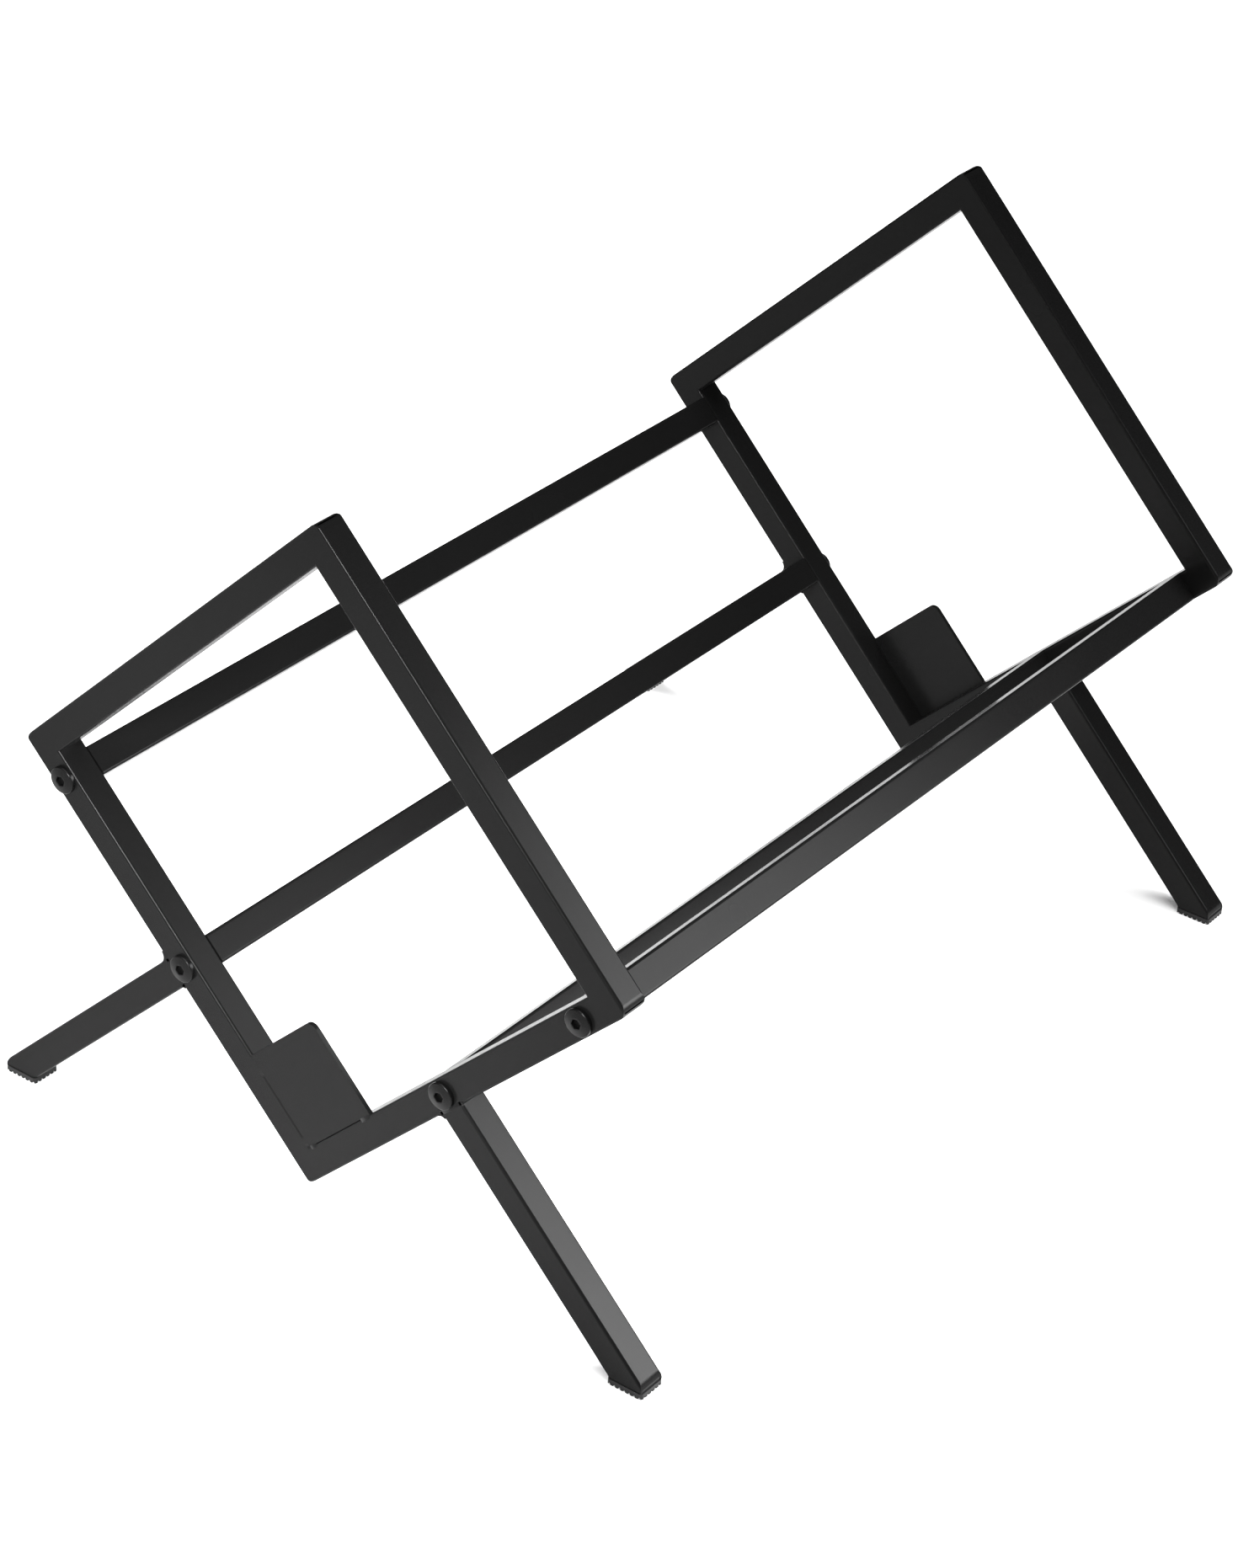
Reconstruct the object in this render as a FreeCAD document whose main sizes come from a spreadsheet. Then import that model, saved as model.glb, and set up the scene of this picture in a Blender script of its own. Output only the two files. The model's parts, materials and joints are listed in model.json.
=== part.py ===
import FreeCAD, Part
import os
import re
import Sketcher
from FreeCAD import Vector
from math import atan2

# Firewood log rack: two square end frames of welded square tube stand on a
# corner, so that their rear and bottom tubes make a V, and four crossbars are
# bolted between them. The logs lie in the V, across the crossbars. Each frame
# has a front and a rear leg that end in ribbed rubber feet, and a small plate
# in its bottom corner that stops the logs from sliding out.
#
# Row frame: +Z up, X along the crossbars, front towards -Y. The origin is on
# the floor, midway between the end frames and straight below the V's corner.
#
# End-frame axes, before the tilt: x from the frame's outer side inwards, y
# backwards and z up the rear tube, from the outer bottom corner.

# name: (value, what it is); millimetres and degrees
DIMENSIONS = {
    "overall_length": (675, "outer face to outer face of the end frames"),
    "frame_height": (320, "rear tube, outside to outside"),
    "frame_depth": (320, "bottom tube, outside to outside"),
    "tilt": (45, "bottom tube above the horizontal"),
    "corner_clearance": (32, "floor to the outer bottom corner"),
    "tube_width": (20, "side of the square tube"),
    "tube_wall": (1.5, "tube wall"),
    "tube_edge_radius": (1.8, "rounded long edges of the tube"),
    "corner_radius": (6.5, "ground corners of the end frame"),
    "leg_line": (151, "corner to the legs and to the lower crossbars"),
    "bar_from_end": (35, "free end of the V to the outer crossbars"),
    "plate_reach": (65, "corner plate, beyond the tubes"),
    "plate_thickness": (3, "corner plate"),
    "plate_corner_radius": (6, "corner plate's free corners"),
    "toe_trim": (4, "sharp toe rounded off a leg, along the floor"),
    "pad_thickness": (4, "rubber foot, floor to the leg's cut end"),
    "pad_lip": (0.5, "rubber foot, beyond the leg all round"),
    "pad_corner_radius": (2.2, "rubber foot's upright corners"),
    "rib_pitch": (3.6, "sole, groove to groove"),
    "groove_width": (1.7, "sole grooves"),
    "groove_depth": (1.9, "sole grooves"),
    "plug_height": (18, "foot's plug inside the leg"),
    "plug_clearance": (0.2, "plug to the tube's inner wall"),
    "plug_root": (1, "plug, into the rubber foot's plate"),
    "plug_recess": (0.3, "plug behind the leg's rounded toe"),
    "screw_diameter": (8, "shank"),
    "screw_length": (35, "below the head"),
    "head_diameter": (17.8, "screw head"),
    "head_rim": (2.6, "upright rim of the screw head"),
    "rim_radius": (0.8, "rounded edge above the rim"),
    "head_height": (3.7, "screw head, rim and shallow dome"),
    "head_flat_diameter": (8, "flat top of the head"),
    "socket_width": (6, "hexagon socket across flats"),
    "socket_depth": (2.6, "hexagon socket"),
    "hole_diameter": (8.5, "screw holes in the end frames"),
    "insert_length": (18, "threaded insert in a crossbar's end"),
    "insert_clearance": (0.05, "insert to the tube's inner wall"),
    "thread_clearance": (0.05, "screw to the insert's bore, radial"),
    "cut_margin": (2, "how far a cut's outline runs past the piece"),
}

SAME = 1e-6   # lengths closer than this count as the same

doc = FreeCAD.newDocument("log_rack")
sheet = doc.addObject("Spreadsheet::Sheet", "dims")
for row, (name, (value, meaning)) in enumerate(DIMENSIONS.items(), start=1):
    sheet.set(f"A{row}", name)
    sheet.set(f"B{row}", str(value))
    sheet.set(f"C{row}", meaning)
    sheet.setAlias(f"B{row}", name)
doc.recompute()


def ratio(function, angle):
    """Return cos, sin or tan of an angle that is given in degrees, as an expression."""
    return f"{function}(({angle}) * 1 deg)"


COS = ratio("cos", "tilt")
SIN = ratio("sin", "tilt")


def cells(expression):
    """Return an expression with each dimension's name replaced by its cell."""
    return re.sub(r"[a-z_]+", lambda word: f"dims.{word[0]}" if word[0] in DIMENSIONS else word[0],
                  expression)


def number(expression):
    """Work out an expression of dimension names with the sheet's present values."""
    return float(sheet.evalExpression(cells(expression)))


def bind(thing, prop, expression):
    thing.setExpression(prop, cells(expression))


def about_x(angle):
    return f"rotation(vector(1; 0; 0); {cells(angle)})"


def about_y(angle):
    return f"rotation(vector(0; 1; 0); {cells(angle)})"


def place(thing, x, y, z, *turns):
    """Bind a placement: a point given as expressions, and one or more turns."""
    where = f"vector({cells(x)}; {cells(y)}; {cells(z)})"
    thing.setExpression("Placement", f"placement({where}; {' * '.join(turns)})")


def in_end_frame(y, z):
    """Return the row's Y and Z of a point given in the end frame's y and z."""
    row_y = f"({y}) * {COS} + ({z}) * {SIN}"
    row_z = f"corner_clearance - ({y}) * {SIN} + ({z}) * {COS}"
    return row_y, row_z


# ---------------------------------------------------------------- sketch tools

def new_body(name):
    body = doc.addObject("PartDesign::Body", name)
    body.Label = name
    return body


def new_sketch(body, role, name, offset=None):
    """Add a sketch on one of the body's own origin planes."""
    sketch = body.newObject("Sketcher::SketchObject", name)
    plane = next(item for item in body.Origin.OriginFeatures if item.Role == role)
    sketch.AttachmentSupport = [(plane, "")]
    sketch.MapMode = "FlatFace"
    if offset:
        bind(sketch, "AttachmentOffset.Base.z", offset)
    return sketch


def fix_point(sketch, geometry, end, x, y):
    """Hold one point of the sketch at x and y, given as expressions."""
    for kind, expression in (("DistanceX", x), ("DistanceY", y)):
        constraint = Sketcher.Constraint(kind, -1, 1, geometry, end, number(expression))
        index = sketch.addConstraint(constraint)
        bind(sketch, f"Constraints[{index}]", expression)


def outline(sketch, points, arcs=None):
    """Draw a closed outline; arcs gives the centre of each side that is an arc."""
    arcs = arcs or {}
    values = [Vector(number(x), number(y), 0) for x, y in points]
    first = sketch.GeometryCount
    count = len(points)
    starts = []
    ends = []
    for side in range(count):
        here, there = values[side], values[(side + 1) % count]
        if side not in arcs:
            sketch.addGeometry(Part.LineSegment(here, there))
            starts.append(1)
            ends.append(2)
            continue
        centre = Vector(number(arcs[side][0]), number(arcs[side][1]), 0)
        from_angle = atan2(here.y - centre.y, here.x - centre.x)
        to_angle = atan2(there.y - centre.y, there.x - centre.x)
        turns_left = (here - centre).cross(there - centre).z > 0
        circle = Part.Circle(centre, Vector(0, 0, 1), (here - centre).Length)
        low, high = (from_angle, to_angle) if turns_left else (to_angle, from_angle)
        sketch.addGeometry(Part.ArcOfCircle(circle, low, high))
        starts.append(1 if turns_left else 2)
        ends.append(2 if turns_left else 1)
    for side in range(count):
        after = (side + 1) % count
        sketch.addConstraint(Sketcher.Constraint(
            "Coincident", first + side, ends[side], first + after, starts[after]))
        fix_point(sketch, first + side, starts[side], *points[side])


def rectangle(sketch, x, y, width, height):
    """Draw a rectangle centred on x and y; every value is an expression."""
    half_w, half_h = f"({width}) / 2", f"({height}) / 2"
    outline(sketch, [(f"{x} - {half_w}", f"{y} - {half_h}"), (f"{x} + {half_w}", f"{y} - {half_h}"),
                     (f"{x} + {half_w}", f"{y} + {half_h}"), (f"{x} - {half_w}", f"{y} + {half_h}")])


def circle(sketch, x, y, diameter):
    geometry = sketch.addGeometry(Part.Circle(
        Vector(number(x), number(y), 0), Vector(0, 0, 1), number(diameter) / 2))
    fix_point(sketch, geometry, 3, x, y)
    index = sketch.addConstraint(Sketcher.Constraint("Diameter", geometry, number(diameter)))
    bind(sketch, f"Constraints[{index}]", diameter)


def pad(body, sketch, length, symmetric=False):
    feature = body.newObject("PartDesign::Pad", sketch.Name + "_pad")
    feature.Profile = sketch
    if symmetric:
        feature.SideType = "Symmetric"
    bind(feature, "Length", length)
    sketch.Visibility = False
    doc.recompute()
    return feature


def cut_through(body, sketch):
    """Pocket a sketch both ways through the body, and check that it cuts."""
    doc.recompute()
    before = body.Shape.Volume
    feature = body.newObject("PartDesign::Pocket", sketch.Name + "_cut")
    feature.Profile = sketch
    feature.Type = "ThroughAll"
    feature.SideType = "Symmetric"
    sketch.Visibility = False
    doc.recompute()
    if not body.Shape.Volume < before:
        raise RuntimeError(f"{feature.Name} cuts nothing")
    return feature


def round_edges(body, feature, radius, wanted):
    """Fillet the edges of a feature that wanted(edge) picks."""
    names = [f"Edge{index}" for index, edge in enumerate(feature.Shape.Edges, start=1) if wanted(edge)]
    fillet = body.newObject("PartDesign::Fillet", feature.Name + "_fillet")
    fillet.Base = (feature, names)
    bind(fillet, "Radius", radius)
    doc.recompute()
    return fillet


def runs_along(edge, direction):
    ends = [vertex.Point for vertex in edge.Vertexes]
    return len(ends) == 2 and (ends[1] - ends[0]).cross(direction).Length < SAME


# ----------------------------------------------------------------------- tubes

def tube(name, length, x="0", y="0"):
    """Make a square tube along local z whose section is centred on x and y."""
    body = new_body(name)
    section = new_sketch(body, "XY_Plane", name + "_section")
    rectangle(section, x, y, "tube_width", "tube_width")
    rectangle(section, x, y, "tube_width - 2 * tube_wall", "tube_width - 2 * tube_wall")
    bar = pad(body, section, length)
    middle = Vector(number(x), number(y), 0)
    mid_wall = number("(tube_width - tube_wall) / sqrt(2)")

    def outer_long_edge(edge):
        point = edge.Vertexes[0].Point
        from_middle = Vector(point.x, point.y, 0) - middle
        return runs_along(edge, Vector(0, 0, 1)) and from_middle.Length > mid_wall

    round_edges(body, bar, "tube_edge_radius", outer_long_edge)
    return body


def mitre(body, name, end_z, inward):
    """Saw one end at 45 degrees and grind its outer corner round.

    The tube's outer face is at y = 0 and its inner face at y = -tube_width.
    inward is "+" at the low end and "-" at the high end.
    """
    outward = "-" if inward == "+" else "+"
    sketch = new_sketch(body, "YZ_Plane", name)
    meet = "corner_radius * (1 - cos(45 deg))"
    points = [
        ("0", f"{end_z} {inward} corner_radius"),
        (f"0 - {meet}", f"{end_z} {inward} {meet}"),
        ("0 - tube_width - cut_margin", f"{end_z} {inward} (tube_width + cut_margin)"),
        ("0 - tube_width - cut_margin", f"{end_z} {outward} cut_margin"),
        ("cut_margin", f"{end_z} {outward} cut_margin"),
        ("cut_margin", f"{end_z} {inward} corner_radius"),
    ]
    outline(sketch, points, arcs={0: ("0 - corner_radius", f"{end_z} {inward} corner_radius")})
    cut_through(body, sketch)


def frame_tube(name, length, screw_holes=()):
    """Make one side of the end frame: outer face at y = 0, mitred at both ends."""
    body = tube(name, length, "tube_width / 2", "0 - tube_width / 2")
    mitre(body, name + "_low_mitre", "0", "+")
    mitre(body, name + "_high_mitre", length, "-")
    if screw_holes:
        holes = new_sketch(body, "YZ_Plane", name + "_holes")
        for position in screw_holes:
            circle(holes, "0 - tube_width / 2", position, "hole_diameter")
        cut_through(body, holes)
    return body


def leg(name, length, lean, toe_side):
    """Make a leg down from z = 0, cut along the floor, with its sharp toe rounded off.

    length is along its centre line, and lean is its angle from the vertical.
    toe_side is 1 where the toe is on the side of positive y, and otherwise -1.
    The rounding starts upright at the floor cut and ends in the leg's own face.
    """
    half = "tube_width / 2"
    body = tube(name, f"{length} + {half} * {ratio('tan', lean)} + cut_margin", half, "0")
    tip_z = f"({length} + {half} * {ratio('tan', lean)})"
    rise = f"(toe_trim / {ratio('tan', lean)})"
    radius = f"({rise} / {ratio('tan', f'({lean}) / 2')})"
    arc_end_z = f"({tip_z} - toe_trim / {ratio('sin', lean)} - {rise})"
    past = f"({half} + cut_margin)"
    end_z = f"{tip_z} + 2 * cut_margin"
    points = [
        (f"0 - {past}", f"{length} - {past} * {ratio('tan', lean)}"),
        (f"{half} - toe_trim * {ratio('cos', lean)}", f"{tip_z} - toe_trim * {ratio('sin', lean)}"),
        (half, arc_end_z),
        (past, arc_end_z),
        (past, end_z),
        (f"0 - {past}", end_z),
    ]
    sketch = new_sketch(body, "YZ_Plane", name + "_floor_cut")
    outline(sketch, [(f"{toe_side} * ({y})", z) for y, z in points],
            arcs={1: (f"{toe_side} * ({half} - {radius})", arc_end_z)})
    cut_through(body, sketch)
    return body


# ----------------------------------------------------------- plate and feet

def corner_plate(name):
    """Make the end stop, flush with the frame's outer side."""
    body = new_body(name)
    sketch = new_sketch(body, "YZ_Plane", name + "_outline")
    rectangle(sketch, "0 - tube_width - plate_reach / 2", "tube_width + plate_reach / 2",
              "plate_reach", "plate_reach")
    plate = pad(body, sketch, "plate_thickness")
    middle = number("tube_width + plate_reach / 2")

    def free_corner(edge):
        point = edge.Vertexes[0].Point
        return runs_along(edge, Vector(1, 0, 0)) and -point.y > middle and point.z > middle

    round_edges(body, plate, "plate_corner_radius", free_corner)
    return body


def sole_grooves(body, name, role, span):
    """Cut evenly spaced grooves across the sole, seen end-on in the role plane."""
    count = int(number(f"floor(({span}) / rib_pitch)"))
    sketch = new_sketch(body, role, name)
    for index in range(count):
        middle = f"({index} - {(count - 1) / 2}) * rib_pitch"
        outline(sketch, [(f"{middle} - groove_width / 2", "0 - cut_margin"),
                         (f"{middle} + groove_width / 2", "0 - cut_margin"),
                         (f"{middle} + groove_width / 2", "groove_depth / 2"),
                         (middle, "groove_depth"),
                         (f"{middle} - groove_width / 2", "groove_depth / 2")])
    cut_through(body, sketch)


def foot_pad(name, lean, toe_way):
    """Make a rubber foot, centred under the leg's cut end, sole at z = 0.

    lean is the leg's angle from the vertical. toe_way is 1 where the toe points
    along positive y, and otherwise -1; the leg rises the other way.
    """
    body = new_body(name)
    sole = new_sketch(body, "XY_Plane", name + "_sole")
    long_side = f"tube_width / {ratio('cos', lean)} - toe_trim + 2 * pad_lip"
    short_side = "tube_width + 2 * pad_lip"
    rectangle(sole, "0", "0", short_side, long_side)
    plate = pad(body, sole, "pad_thickness")
    round_edges(body, plate, "pad_corner_radius", lambda edge: runs_along(edge, Vector(0, 0, 1)))
    sole_grooves(body, name + "_cross_ribs", "YZ_Plane", long_side)
    sole_grooves(body, name + "_long_ribs", "XZ_Plane", short_side)
    inside = "(tube_width - 2 * tube_wall - 2 * plug_clearance)"
    half_plug = f"{inside} / {ratio('cos', lean)} / 2"
    slope = ratio("tan", lean)
    bore = "toe_trim / 2"
    toe = f"({long_side}) / 2 - pad_lip - plug_recess"
    meet = f"{bore} + {half_plug} - ({toe})"
    points = [
        (f"{bore} - {half_plug}", "pad_thickness - plug_root"),
        (toe, "pad_thickness - plug_root"),
        (toe, f"pad_thickness + ({meet}) / {slope}"),
        (f"{bore} + {half_plug} - plug_height * {slope}", "pad_thickness + plug_height"),
        (f"{bore} - {half_plug} - plug_height * {slope}", "pad_thickness + plug_height"),
        (f"{bore} - {half_plug}", "pad_thickness"),
    ]
    plug = new_sketch(body, "YZ_Plane", name + "_plug")
    outline(plug, [(f"{toe_way} * ({y})", z) for y, z in points])
    pad(body, plug, inside, symmetric=True)
    return body


# -------------------------------------------------------- screws and inserts

def connector_screw(name):
    """Make a wide, low-headed connector screw: head up, bearing face at z = 0."""
    body = new_body(name)
    profile = new_sketch(body, "XZ_Plane", name + "_profile")
    outline(profile, [("0", "0 - screw_length"), ("screw_diameter / 2", "0 - screw_length"),
                      ("screw_diameter / 2", "0"), ("head_diameter / 2", "0"),
                      ("head_diameter / 2", "head_rim"),
                      ("head_flat_diameter / 2", "head_height"), ("0", "head_height")],
            arcs={4: dome_centre()})
    turned = body.newObject("PartDesign::Revolution", name + "_turned")
    turned.Profile = profile
    turned.ReferenceAxis = (profile, ["V_Axis"])
    turned.Angle = 360
    doc.recompute()
    rim_z = number("head_rim")
    rim_x = number("head_diameter / 2")

    def rim_edge(edge):
        point = edge.Vertexes[0].Point
        at_rim = abs(point.z - rim_z) < SAME and abs(Vector(point.x, point.y, 0).Length - rim_x) < SAME
        return at_rim and isinstance(edge.Curve, Part.Circle) and len(edge.Vertexes) == 1

    round_edges(body, turned, "rim_radius", rim_edge)
    before = body.Shape.Volume
    socket = new_sketch(body, "XY_Plane", name + "_socket", "head_height")
    corner = "socket_width / 2 / cos(30 deg)"
    outline(socket, [(f"{corner} * cos({step * 60} deg)", f"{corner} * sin({step * 60} deg)")
                     for step in range(6)])
    pocket = body.newObject("PartDesign::Pocket", name + "_socket_cut")
    pocket.Profile = socket
    bind(pocket, "Length", "socket_depth")
    doc.recompute()
    if not body.Shape.Volume < before:
        raise RuntimeError("the socket cuts nothing")
    return body


def dome_centre():
    """Return the centre of the shallow dome's arc, which lies on the screw's axis."""
    rim = "head_diameter / 2"
    flat = "head_flat_diameter / 2"
    rise = "(head_height - head_rim)"
    height = f"(head_height + head_rim) / 2 - (({rim}) ^ 2 - ({flat}) ^ 2) / (2 * {rise})"
    return "0", height


def threaded_insert(name):
    """Make a square insert with its outer face at z = 0 and its body below."""
    body = new_body(name)
    section = new_sketch(body, "XY_Plane", name + "_section")
    side = "tube_width - 2 * tube_wall - 2 * insert_clearance"
    rectangle(section, "0", "0", side, side)
    circle(section, "0", "0", "screw_diameter + 2 * thread_clearance")
    block = pad(body, section, "insert_length")
    block.Reversed = True
    doc.recompute()
    return body


def copies(name, master, spots, turn):
    """Group copies of one master piece, one in line with each crossbar."""
    links = []
    for index, (x, y, z) in enumerate(spots, start=1):
        link = doc.addObject("App::Link", f"{name}_{index}")
        link.LinkedObject = master
        place(link, x, y, z, about_x("0 - tilt"), about_y(turn))
        links.append(link)
    group = doc.addObject("Part::Compound", name)
    group.Label = name
    group.Links = links
    return group


# -------------------------------------------------------------- the assembly

nodes = []

# middle of each crossbar's section, in the end frame's y and z
MIDDLE = "tube_width / 2"
CROSSBARS = {
    "rear_upper_crossbar": (f"0 - {MIDDLE}", "frame_height - bar_from_end"),
    "rear_lower_crossbar": (f"0 - {MIDDLE}", "leg_line"),
    "bottom_rear_crossbar": ("0 - leg_line", MIDDLE),
    "bottom_front_crossbar": ("bar_from_end - frame_depth", MIDDLE),
}

# each leg: its angle from the vertical, where it starts in the row's Y and Z,
# the side of its own y that the toe is on, and the way the toe points along Y
LEGS = {
    "rear": ("90 - tilt", in_end_frame("0", "leg_line"), -1, 1),
    "front": ("tilt", in_end_frame("0 - leg_line", "0"), 1, -1),
}
LEG_TURN = {"rear": "270", "front": "180"}


def end_frame(side, outer_x, mid_tube_x):
    """Make one end frame. outer_x is where its pieces' local x = 0 lies."""
    rear_holes = ["leg_line", "frame_height - bar_from_end"]
    bottom_holes = ["bar_from_end", "frame_depth - leg_line"]
    sides = {
        "rear": ("frame_height", rear_holes, ("0", "0"), "0"),
        "top": ("frame_depth", (), ("0", "frame_height"), "90"),
        "front": ("frame_height", (), ("0 - frame_depth", "frame_height"), "180"),
        "bottom": ("frame_depth", bottom_holes, ("0 - frame_depth", "0"), "270"),
    }
    for place_name, (length, holes, start, turn) in sides.items():
        body = frame_tube(f"{side}_{place_name}_tube", length, holes)
        place(body, outer_x, *in_end_frame(*start), about_x(f"{turn} - tilt"))
        nodes.append(body)

    for end, (lean, (start_y, start_z), toe_side, toe_way) in LEGS.items():
        drop = f"({start_z} - pad_thickness)"
        body = leg(f"{side}_{end}_leg", f"{drop} / {ratio('cos', lean)}", lean, toe_side)
        place(body, outer_x, start_y, start_z, about_x(f"{LEG_TURN[end]} - tilt"))
        nodes.append(body)
        foot = foot_pad(f"{side}_{end}_foot_pad", lean, toe_way)
        foot_y = f"{start_y} + {toe_way} * ({drop} * {ratio('tan', lean)} - toe_trim / 2)"
        place(foot, mid_tube_x, foot_y, "0", about_x("0"))
        nodes.append(foot)


def main():
    half_length = "overall_length / 2"
    outer_x = {"left": f"0 - {half_length}", "right": f"{half_length} - tube_width"}
    mid_tube_x = {"left": f"tube_width / 2 - {half_length}", "right": f"{half_length} - tube_width / 2"}
    plate_x = {"left": outer_x["left"], "right": f"{half_length} - plate_thickness"}
    for side in ("left", "right"):
        end_frame(side, outer_x[side], mid_tube_x[side])
        plate = corner_plate(f"{side}_corner_plate")
        place(plate, plate_x[side], *in_end_frame("0", "0"), about_x("0 - tilt"))
        nodes.append(plate)

    bar_length = "overall_length - 2 * tube_width"
    for name, (y, z) in CROSSBARS.items():
        body = tube(name, bar_length)
        start_x = f"tube_width - {half_length}"
        place(body, start_x, *in_end_frame(y, z), about_x("0 - tilt"), about_y("90"))
        nodes.append(body)

    screw = connector_screw("screw_master")
    insert = threaded_insert("insert_master")
    middles = [in_end_frame(y, z) for y, z in CROSSBARS.values()]
    outward = {"left": ("0 -", "0 - 90"), "right": ("", "90")}
    for side, (sign, turn) in outward.items():
        face_x = f"{sign} {half_length}"
        bar_end_x = f"{sign} ({half_length} - tube_width)"
        nodes.append(copies(f"{side}_screws", screw, [(face_x, y, z) for y, z in middles], turn))
        nodes.append(copies(f"{side}_threaded_inserts", insert,
                            [(bar_end_x, y, z) for y, z in middles], turn))

    doc.recompute()
    for item in doc.Objects:
        if "Invalid" in item.State or "Error" in item.State:
            raise RuntimeError(f"{item.Name} failed: {item.State}")
    os.makedirs("parts", exist_ok=True)
    for node in nodes:
        if node.Shape.isNull() or not node.Shape.isValid():
            raise RuntimeError(f"{node.Label} has no valid shape")
        node.Shape.exportStep(f"parts/{node.Label}.step")
        box = node.Shape.BoundBox
        print(f"{node.Label:28s} {len(node.Shape.Solids)} solids  {node.Shape.Volume / 1000:8.2f} cm3  "
              f"z {box.ZMin:.1f} to {box.ZMax:.1f}")


main()
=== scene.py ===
import json
from math import cos, pi, radians, sin, sqrt

import bmesh
import bpy
from mathutils import Matrix, Vector


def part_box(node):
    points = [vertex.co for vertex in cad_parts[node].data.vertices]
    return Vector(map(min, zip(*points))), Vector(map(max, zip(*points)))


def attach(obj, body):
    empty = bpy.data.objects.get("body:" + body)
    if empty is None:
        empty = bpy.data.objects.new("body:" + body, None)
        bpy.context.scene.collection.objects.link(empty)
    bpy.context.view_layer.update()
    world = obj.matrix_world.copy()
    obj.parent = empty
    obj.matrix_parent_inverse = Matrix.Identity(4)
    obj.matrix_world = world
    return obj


# Firewood log rack in satin black powder coat, on a plain pale floor.

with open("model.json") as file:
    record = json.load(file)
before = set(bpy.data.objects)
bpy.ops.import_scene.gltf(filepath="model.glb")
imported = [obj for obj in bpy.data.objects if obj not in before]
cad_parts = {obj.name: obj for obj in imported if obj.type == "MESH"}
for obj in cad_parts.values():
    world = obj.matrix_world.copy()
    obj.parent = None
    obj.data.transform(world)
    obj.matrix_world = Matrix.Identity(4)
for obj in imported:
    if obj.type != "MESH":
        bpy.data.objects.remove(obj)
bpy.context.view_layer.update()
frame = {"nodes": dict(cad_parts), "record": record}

# ------------------------------------------------------------------ the camera

CAMERA_PLACE = Vector((-1.8705, -1.2911, 1.5550))
CAMERA_AZIMUTH = -54.86      # degrees; 0 looks along +Y
CAMERA_ELEVATION = 31.58
CAMERA_ROLL = 3.17
CAMERA_LENS = 120.4          # mm
SENSOR_WIDTH = 36.0          # mm


def view_axes(azimuth, elevation, roll):
    """Return the right, up and back directions of a camera, from its angles in degrees."""
    turn, rise, tilt = radians(azimuth), radians(elevation), radians(roll)
    back = Vector((sin(turn) * cos(rise), -cos(turn) * cos(rise), sin(rise)))
    level_right = Vector((cos(turn), sin(turn), 0))
    level_up = back.cross(level_right)
    right = level_right * cos(tilt) + level_up * sin(tilt)
    return right, back.cross(right), back


def make_camera():
    data = bpy.data.cameras.new("camera")
    data.sensor_fit = "HORIZONTAL"
    data.sensor_width = SENSOR_WIDTH
    data.lens = CAMERA_LENS
    camera = bpy.data.objects.new("camera", data)
    right, up, back = view_axes(CAMERA_AZIMUTH, CAMERA_ELEVATION, CAMERA_ROLL)
    turn = Matrix((right, up, back)).transposed()
    camera.matrix_world = Matrix.Translation(CAMERA_PLACE) @ turn.to_4x4()
    bpy.context.scene.collection.objects.link(camera)
    bpy.context.scene.camera = camera


# --------------------------------------------------------------- node helpers

NOISE_LOW = 0.3              # a noise node's usual values
NOISE_HIGH = 0.7


def new_material(name):
    """Return a new material, its nodes, and its Principled shader."""
    material = bpy.data.materials.new(name)
    material.use_nodes = True
    return material, material.node_tree, material.node_tree.nodes["Principled BSDF"]


def add_node(tree, kind, **settings):
    """Add a node; keywords set its properties or the defaults of its inputs."""
    node = tree.nodes.new(kind)
    for key, value in settings.items():
        if hasattr(node, key):
            setattr(node, key, value)
        else:
            node.inputs[key.replace("_", " ")].default_value = value
    return node


def noise(tree, place, scale, detail):
    node = add_node(tree, "ShaderNodeTexNoise", Scale=scale, Detail=detail)
    tree.links.new(place, node.inputs["Vector"])
    return node.outputs["Fac"]


def spread(tree, value, low, high, from_low=NOISE_LOW, from_high=NOISE_HIGH):
    """Map a value, such as a noise, onto the range low to high."""
    node = add_node(tree, "ShaderNodeMapRange")
    node.inputs["From Min"].default_value = from_low
    node.inputs["From Max"].default_value = from_high
    node.inputs["To Min"].default_value = low
    node.inputs["To Max"].default_value = high
    tree.links.new(value, node.inputs["Value"])
    return node.outputs["Result"]


# ------------------------------------------------------------------ materials

PEEL_DETAIL = 2              # orange peel
PEEL_STRENGTH = 0.12
PEEL_DEPTH = 0.0002
SPECKLE_SCALE = 3200
SPECKLE_DETAIL = 1
SPECKLE_DARK = 0.8           # of the coat's shade
SPECKLE_LIGHT = 1.25
DRIFT_SCALE = 14             # slow drifts of gloss over a coat
DRIFT_DETAIL = 3
COAT_DRIFT = 0.015
PLATING_SCALE = 120          # drifts of gloss over plated metal
PLATING_DETAIL = 2
PLATING_DRIFT = 0.06
PLATING_BLUE = 1.03          # bluish cast


def grey(shade, factor=1):
    level = shade * factor
    return (level, level, level, 1)


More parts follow.
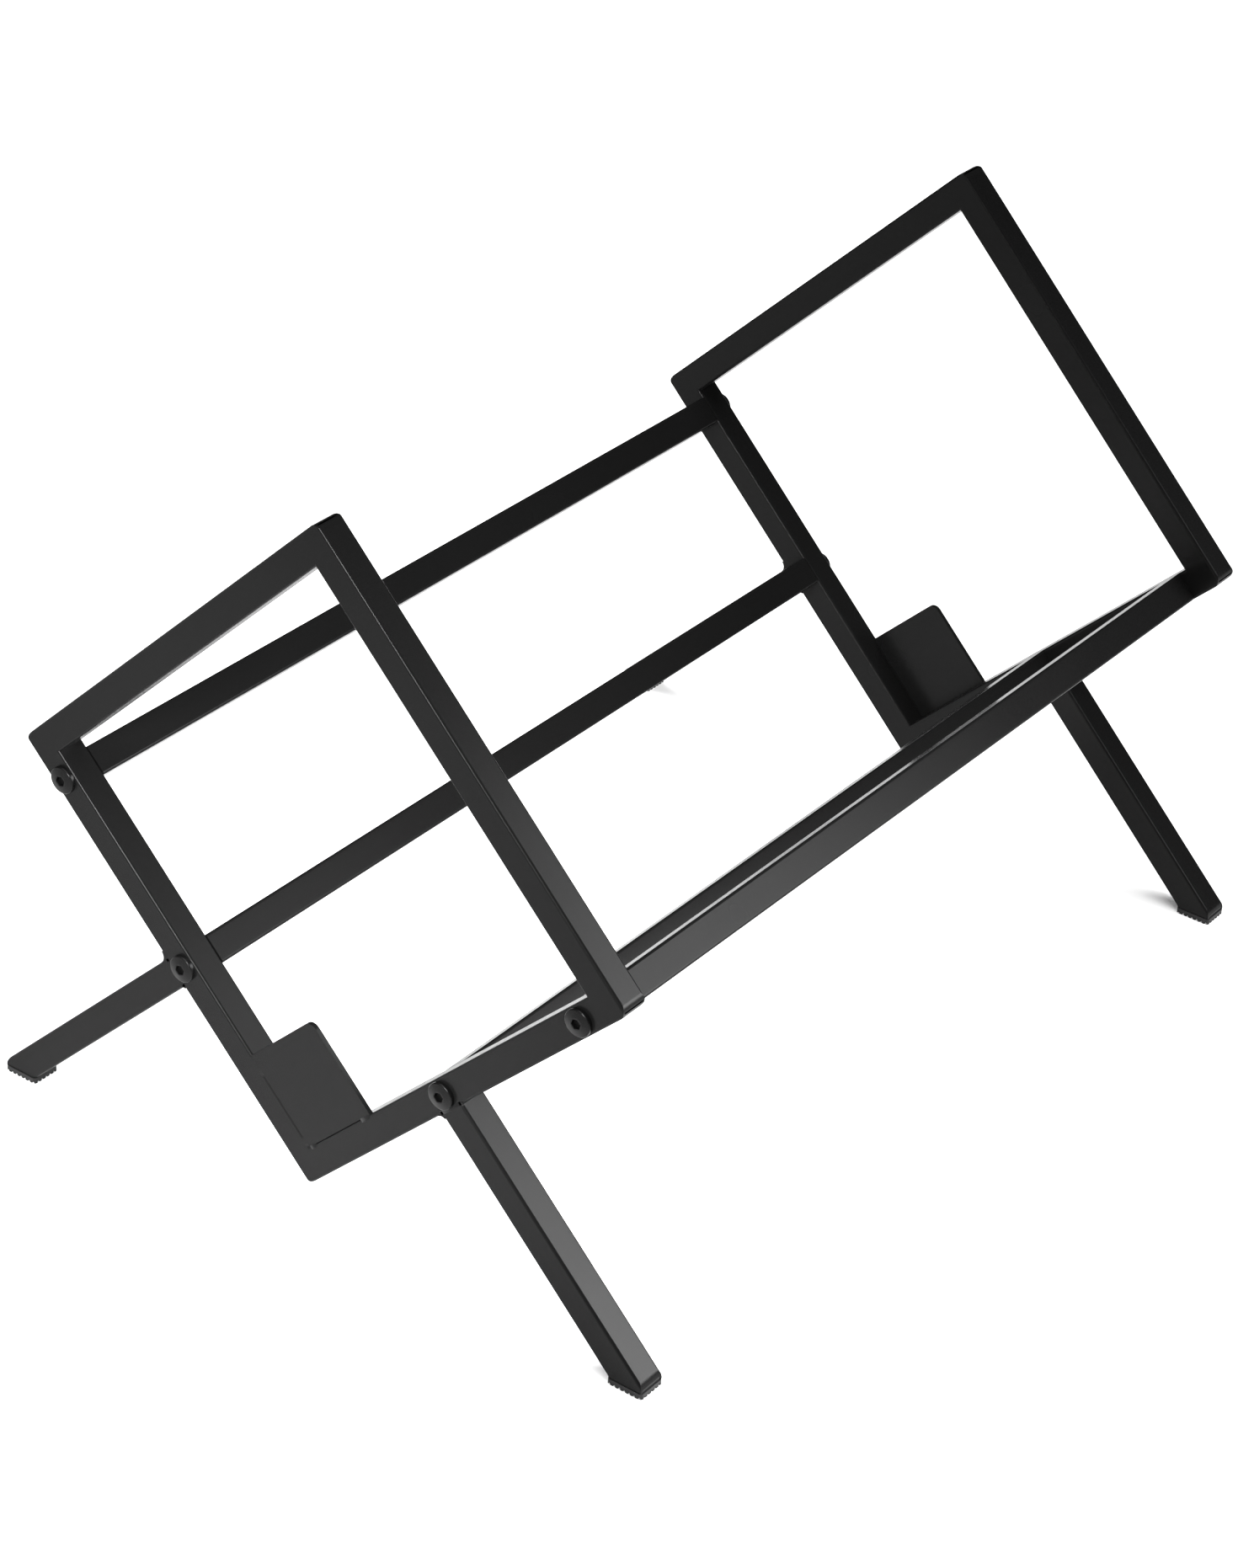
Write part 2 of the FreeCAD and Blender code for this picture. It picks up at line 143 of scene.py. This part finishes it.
def coat(name, shade, gloss, specular, peel_scale):
    """Satin black coat: fine orange peel, a faint speckle and slow drifts of gloss.

    shade is the base colour's grey, gloss its roughness and specular its specular level.
    """
    material, tree, shader = new_material(name)
    place = tree.nodes.new("ShaderNodeTexCoord").outputs["Object"]
    peel = noise(tree, place, peel_scale, PEEL_DETAIL)
    speckle = noise(tree, place, SPECKLE_SCALE, SPECKLE_DETAIL)
    drift = noise(tree, place, DRIFT_SCALE, DRIFT_DETAIL)
    bump = add_node(tree, "ShaderNodeBump", Strength=PEEL_STRENGTH, Distance=PEEL_DEPTH)
    tree.links.new(peel, bump.inputs["Height"])
    tree.links.new(bump.outputs["Normal"], shader.inputs["Normal"])
    roughness = spread(tree, drift, gloss - COAT_DRIFT, gloss + COAT_DRIFT)
    tree.links.new(roughness, shader.inputs["Roughness"])
    mix = add_node(tree, "ShaderNodeMix", data_type="RGBA")
    mix.inputs["A"].default_value = grey(shade, SPECKLE_DARK)
    mix.inputs["B"].default_value = grey(shade, SPECKLE_LIGHT)
    tree.links.new(spread(tree, speckle, 0, 1), mix.inputs["Factor"])
    tree.links.new(mix.outputs["Result"], shader.inputs["Base Color"])
    shader.inputs["Specular IOR Level"].default_value = specular
    return material


def plated_steel(name, shade, gloss):
    """Bare plated metal, with slow drifts of gloss over its surface."""
    material, tree, shader = new_material(name)
    place = tree.nodes.new("ShaderNodeTexCoord").outputs["Object"]
    drift = noise(tree, place, PLATING_SCALE, PLATING_DETAIL)
    roughness = spread(tree, drift, gloss - PLATING_DRIFT, gloss + PLATING_DRIFT)
    tree.links.new(roughness, shader.inputs["Roughness"])
    shader.inputs["Base Color"].default_value = (shade, shade, shade * PLATING_BLUE, 1)
    shader.inputs["Metallic"].default_value = 1
    return material


def give(material, slot):
    """Put a material on every CAD node that the record gives a slot."""
    for subpart in frame["record"]["subparts"]:
        if subpart["material_slot"] == slot:
            for part_slot in frame["nodes"][subpart["node"]].material_slots:
                part_slot.material = material


# ---------------------------------------------------------------------- welds

SLANT = sqrt(0.5)            # sine and cosine of the end frame's 45 degrees
EDGE_RADIUS = 0.0018         # rounded long edges of the tubes
PROUD = 0.00002              # a ground weld, above the faces that it joins
OVERLAP = 0.0004             # a ground weld, over its neighbours
RUN_OUT = 0.0012             # sloping end of a weld in a groove
RIPPLE_PITCH = 0.0014        # ripples along a fillet weld
RIPPLE_HEIGHT = 0.00012
ARC_STEPS = 8
FILLET_RINGS = 48
SHARP_ANGLE = 40             # degrees; flatter edges of a weld are shaded smooth

# size of the fillet weld in each of the two corners between a leg and its tube
LEG_WELDS = {
    "front": {"low": 0.0032, "high": 0.0012},
    "rear": {"low": 0.0012, "high": 0.0055},
}
# stretches of each plate seam that are filled and ground, from the plate's lowest corner
REAR_SEAM = ((0, 0.0076), (0.0496, 0.065))
BOTTOM_SEAM = ((0, 0.0071), (0.0541, 0.065))


class Shape:
    """Vertices and faces of one welded piece, gathered from several closed parts."""

    def __init__(self):
        self.points = []
        self.faces = []

    def add_rings(self, rings):
        """Join rings with the same number of points into one closed part with flat ends."""
        base = len(self.points)
        count = len(rings[0])
        for ring in rings:
            self.points.extend(ring)
        for step in range(len(rings) - 1):
            low = base + step * count
            for corner in range(count):
                after = (corner + 1) % count
                self.faces.append((low + corner, low + after,
                                   low + count + after, low + count + corner))
        self.faces.append(tuple(range(base + count - 1, base - 1, -1)))
        last = base + (len(rings) - 1) * count
        self.faces.append(tuple(range(last, last + count)))

    def finish(self, name, material):
        mesh = bpy.data.meshes.new(name)
        mesh.from_pydata(self.points, [], self.faces)
        work = bmesh.new()
        work.from_mesh(mesh)
        bmesh.ops.recalc_face_normals(work, faces=work.faces)
        work.to_mesh(mesh)
        work.free()
        mesh.shade_smooth()
        mesh.set_sharp_from_angle(angle=radians(SHARP_ANGLE))
        mesh.materials.append(material)
        piece = bpy.data.objects.new(name, mesh)
        bpy.context.scene.collection.objects.link(piece)
        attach(piece, "root")


def in_plane(x, start, along, by, across, over):
    """Return a point of a plane of constant x: by along one direction and over across it."""
    y = start[0] + along[0] * by + across[0] * over
    z = start[1] + along[1] * by + across[1] * over
    return (x, y, z)


def add_fillet(shape, corner, tube_way, leg_way, size, left_x, right_x):
    """Add a hollow fillet weld across a tube's width, ground flush at both ends."""
    root = -(EDGE_RADIUS + PROUD)
    rings = []
    for step in range(FILLET_RINGS + 1):
        share = step / FILLET_RINGS
        x = left_x - PROUD + share * (right_x - left_x + 2 * PROUD)
        swell = RIPPLE_HEIGHT * sin(2 * pi * (x - left_x) / RIPPLE_PITCH) * sin(pi * share)
        outline = [(root, root), (size, root)]
        for turn in range(ARC_STEPS + 1):
            angle = pi / 2 * turn / ARC_STEPS
            rise = swell * sin(2 * angle)
            outline.append((size - (size - rise) * sin(angle), size - (size - rise) * cos(angle)))
        outline.append((root, size))
        rings.append([in_plane(x, corner, tube_way, p, leg_way, q) for p, q in outline])
    shape.add_rings(rings)


def add_groove_fill(shape, start, along, into_tube, first, last, face_x, inward):
    """Fill the groove beside a tube's rounded edge and grind it flush with the outer face.

    inward is 1 or -1, the way along X from the face at face_x into the tube.
    """
    sunk = EDGE_RADIUS / 2
    rings = []
    for length, depth, over in ((first, sunk, 0), (first + RUN_OUT, -PROUD, OVERLAP),
                                (last - RUN_OUT, -PROUD, OVERLAP), (last, sunk, 0)):
        outline = [
            (depth, -over),
            (depth, EDGE_RADIUS + OVERLAP),
            (EDGE_RADIUS, EDGE_RADIUS + OVERLAP),
            (EDGE_RADIUS, -OVERLAP),
        ]
        rings.append([in_plane(face_x + inward * sink, start, along, length, into_tube, into)
                      for sink, into in outline])
    shape.add_rings(rings)


def make_leg_welds(side, end, material):
    low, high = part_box(f"{side}_{end}_leg")
    way = -1 if end == "front" else 1
    width = high[0] - low[0]
    near_y = low[1] if end == "rear" else high[1]
    corners = {
        "low": (near_y, high[2] - width * SLANT),
        "high": (near_y + way * width * SLANT, high[2]),
    }
    leg_way = (way * SLANT, -SLANT)
    tube_ways = {"low": (-way * SLANT, -SLANT), "high": (way * SLANT, SLANT)}
    shape = Shape()
    for place, size in LEG_WELDS[end].items():
        add_fillet(shape, corners[place], tube_ways[place], leg_way, size, low[0], high[0])
    into_tube = (-way * SLANT, SLANT)
    for face_x, inward in ((low[0], 1), (high[0], -1)):
        add_groove_fill(shape, corners["low"], tube_ways["high"], into_tube,
                        -RUN_OUT, width + RUN_OUT, face_x, inward)
    shape.finish(f"{side}_{end}_leg_weld", material)


def make_plate_welds(side, material):
    low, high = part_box(f"{side}_corner_plate")
    face_x, inward = (low[0], 1) if side == "left" else (high[0], -1)
    corner = ((low[1] + high[1]) / 2, low[2])
    up_rear = (SLANT, SLANT)
    up_front = (-SLANT, SLANT)
    into_rear = (SLANT, -SLANT)
    into_bottom = (-SLANT, -SLANT)
    seams = ((up_rear, into_rear, REAR_SEAM), (up_front, into_bottom, BOTTOM_SEAM))
    shape = Shape()
    for along, into_tube, seam in seams:
        for first, last in seam:
            add_groove_fill(shape, corner, along, into_tube, first, last, face_x, inward)
    shape.finish(f"{side}_corner_plate_weld", material)


# ------------------------------------------------------------------ the stage

FLOOR_HALF = 12              # metres
FLOOR_SHADE = 0.9
FLOOR_ROUGHNESS = 0.9
SKY_POWER = 5.3
SKY_ANGLE = 60
BACKDROP = 1.0               # strength of the world behind the object
ROOM_HORIZON = 0.0           # strength of the dim room, at the horizon and overhead
ROOM_ZENITH = 0.1

# name, place, target, side, watts, spread in degrees
SOFTBOXES = (
    ("left_floor", (-1.0, 0.15, 1.0), (-0.65, 0.05, 0), 0.6, 0.4, 80),
    ("front_right", (0.62, -1.15, 0.75), (-0.33, -0.2, 0.15), 0.7, 3.8, 75),
    ("front_right_low", (0.35, -1.25, 0.6), (-0.33, -0.2, 0.1), 0.6, 4.0, 60),
    ("left_edge", (-1.35, -0.2, 0.72), (-0.33, 0.05, 0.2), 0.35, 3.0, 35),
)


def make_floor():
    mesh = bpy.data.meshes.new("floor")
    corners = [(x * FLOOR_HALF, y * FLOOR_HALF, 0) for x, y in ((-1, -1), (1, -1), (1, 1), (-1, 1))]
    mesh.from_pydata(corners, [], [(0, 1, 2, 3)])
    floor = bpy.data.objects.new("floor", mesh)
    material, tree, shader = new_material("white_floor")
    shader.inputs["Base Color"].default_value = grey(FLOOR_SHADE)
    shader.inputs["Roughness"].default_value = FLOOR_ROUGHNESS
    shader.inputs["Specular IOR Level"].default_value = 0
    mesh.materials.append(material)
    bpy.context.scene.collection.objects.link(floor)


def softbox(name, place, target, size, power, spread_angle):
    """Add a soft square light that the camera itself doesn't see."""
    data = bpy.data.lights.new(name, "AREA")
    data.size = size
    data.energy = power
    data.spread = radians(spread_angle)
    light = bpy.data.objects.new(name, data)
    light.location = place
    light.rotation_euler = (Vector(target) - Vector(place)).to_track_quat("-Z", "Y").to_euler()
    light.visible_camera = False
    bpy.context.scene.collection.objects.link(light)


def skylight(power, angle):
    """Light everything evenly from above, through a wide soft disc."""
    data = bpy.data.lights.new("skylight", "SUN")
    data.energy = power
    data.angle = radians(angle)
    bpy.context.scene.collection.objects.link(bpy.data.objects.new("skylight", data))


def make_world(backdrop, horizon, zenith):
    """Pale behind the object, and a dim room that brightens upwards for the reflections."""
    world = bpy.data.worlds.new("studio")
    world.use_nodes = True
    tree = world.node_tree
    room = tree.nodes["Background"]
    room.inputs["Color"].default_value = grey(1)
    direction = tree.nodes.new("ShaderNodeTexCoord").outputs["Generated"]
    height = tree.nodes.new("ShaderNodeSeparateXYZ")
    tree.links.new(direction, height.inputs["Vector"])
    glow = spread(tree, height.outputs["Z"], horizon, zenith, 0.5, 1.0)
    tree.links.new(glow, room.inputs["Strength"])
    pale = add_node(tree, "ShaderNodeBackground", Strength=backdrop)
    pale.inputs["Color"].default_value = grey(1)
    mix = tree.nodes.new("ShaderNodeMixShader")
    rays = tree.nodes.new("ShaderNodeLightPath")
    tree.links.new(rays.outputs["Is Camera Ray"], mix.inputs["Fac"])
    tree.links.new(room.outputs["Background"], mix.inputs[1])
    tree.links.new(pale.outputs["Background"], mix.inputs[2])
    tree.links.new(mix.outputs["Shader"], tree.nodes["World Output"].inputs["Surface"])
    bpy.context.scene.world = world


def make_light():
    make_world(BACKDROP, ROOM_HORIZON, ROOM_ZENITH)
    skylight(SKY_POWER, SKY_ANGLE)
    for lamp in SOFTBOXES:
        softbox(*lamp)
    bpy.context.scene.view_settings.view_transform = "Standard"


make_camera()
frame_coat = coat("frame_powder_coat", 0.004, 0.26, 0.056, 1400)
bar_coat = coat("crossbar_powder_coat", 0.004, 0.26, 0.056, 1250)
screw_coat = coat("screw_black_oxide", 0.003, 0.24, 0.085, 2400)
rubber = coat("moulded_rubber", 0.006, 0.5, 0.2, 900)
zinc = plated_steel("zinc_plated_steel", 0.5, 0.35)
give(frame_coat, "frame_coat")
give(bar_coat, "crossbar_coat")
give(screw_coat, "screw_black")
give(zinc, "insert_steel")
give(rubber, "foot_rubber")
for side in ("left", "right"):
    for end in ("front", "rear"):
        make_leg_welds(side, end, frame_coat)
    make_plate_welds(side, frame_coat)
make_floor()
make_light()
